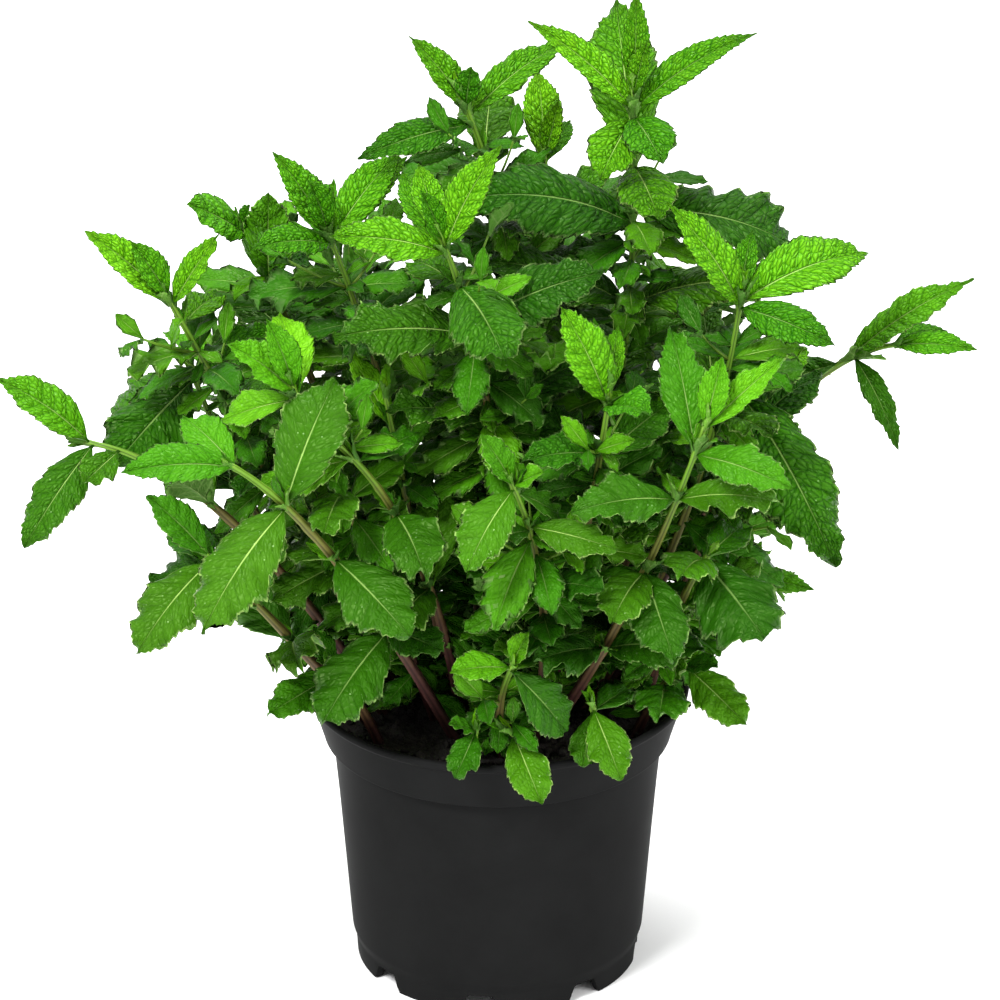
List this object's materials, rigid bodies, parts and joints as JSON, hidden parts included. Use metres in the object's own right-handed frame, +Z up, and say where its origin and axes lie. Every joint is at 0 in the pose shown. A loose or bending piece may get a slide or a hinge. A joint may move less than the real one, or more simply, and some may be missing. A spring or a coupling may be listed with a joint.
{
  "type": "potted mint plant",
  "caption": "Bushy mint plant with toothed, veined leaves on square stems, growing in soil in a round black plastic nursery pot.",
  "frame": {"origin": "on the surface it stands on, on the pot's own axis, under the middle of the foliage's extent", "axes": "+Z up along the pot's axis; -Y towards the front, the side the picture shows; +X to the right as seen from the front"},
  "size_m": [0.3724, 0.2388, 0.3996],
  "materials": {
    "pot": "satin",
    "soil": "matte",
    "mint": "satin"
  },
  "bodies": {
    "root": {"pot": "pot", "soil": "soil", "shoot_crown": "mint", "shoot_crown_left": "mint", "shoot_centre_left": "mint", "shoot_right_upper": "mint", "shoot_far_right": "mint", "shoot_far_left": "mint", "shoot_left_upper": "mint", "shoot_left_front": "mint", "shoot_right_front": "mint", "shoot_centre_right": "mint", "shoot_front_centre": "mint", "shoot_upper_left": "mint", "shoot_left_middle": "mint", "shoot_left_arch": "mint", "shoot_far_left_upper": "mint", "shoot_left_low": "mint", "shoot_left_round": "mint", "shoot_right_big": "mint", "shoot_upright_sprig": "mint", "shoot_front_low": "mint", "shoot_rim_front": "mint", "shoot_rim_front_left": "mint", "shoot_rim_front_right": "mint", "shoot_rim_right": "mint", "shoot_rim_left": "mint", "shoot_right_low": "mint", "shoot_right_trailing": "mint", "shoot_back_right": "mint", "shoot_back_left": "mint", "shoot_back_centre": "mint", "shoot_back_far_left": "mint", "shoot_back_far_right": "mint", "shoot_back_low_left": "mint", "shoot_back_low_right": "mint", "shoot_inner_left": "mint", "shoot_inner_right": "mint", "shoot_inner_centre": "mint"}
  },
  "joints": []
}
